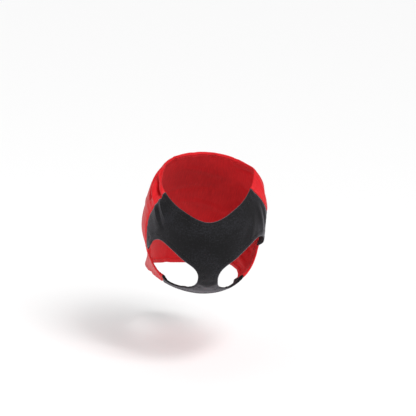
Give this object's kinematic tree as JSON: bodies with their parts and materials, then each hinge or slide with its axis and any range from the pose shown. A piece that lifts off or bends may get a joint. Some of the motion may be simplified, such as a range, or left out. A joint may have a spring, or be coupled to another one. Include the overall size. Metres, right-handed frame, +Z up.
{
  "type": "dog jacket",
  "caption": "Sleeveless two-panel dog jacket in worn form: a back panel over back and flanks, a chest panel between the forelegs, open neck, armholes and hem",
  "frame": {"origin": "on the inside of the back panel at the middle of its neckline, where the jacket bears on the wearer's withers", "axes": "+Z up, the wearer looks along -Y, +X is the wearer's left. The plane X = 0 is the plane of symmetry of the cut."},
  "size_m": [0.136, 0.2221, 0.159],
  "materials": {
    "red_polyester": "smooth woven polyester, slightly satin",
    "black_jersey": "matte fine knit"
  },
  "bodies": {
    "root": {"back_panel": "red_polyester", "chest_panel": "black_jersey"}
  },
  "joints": []
}
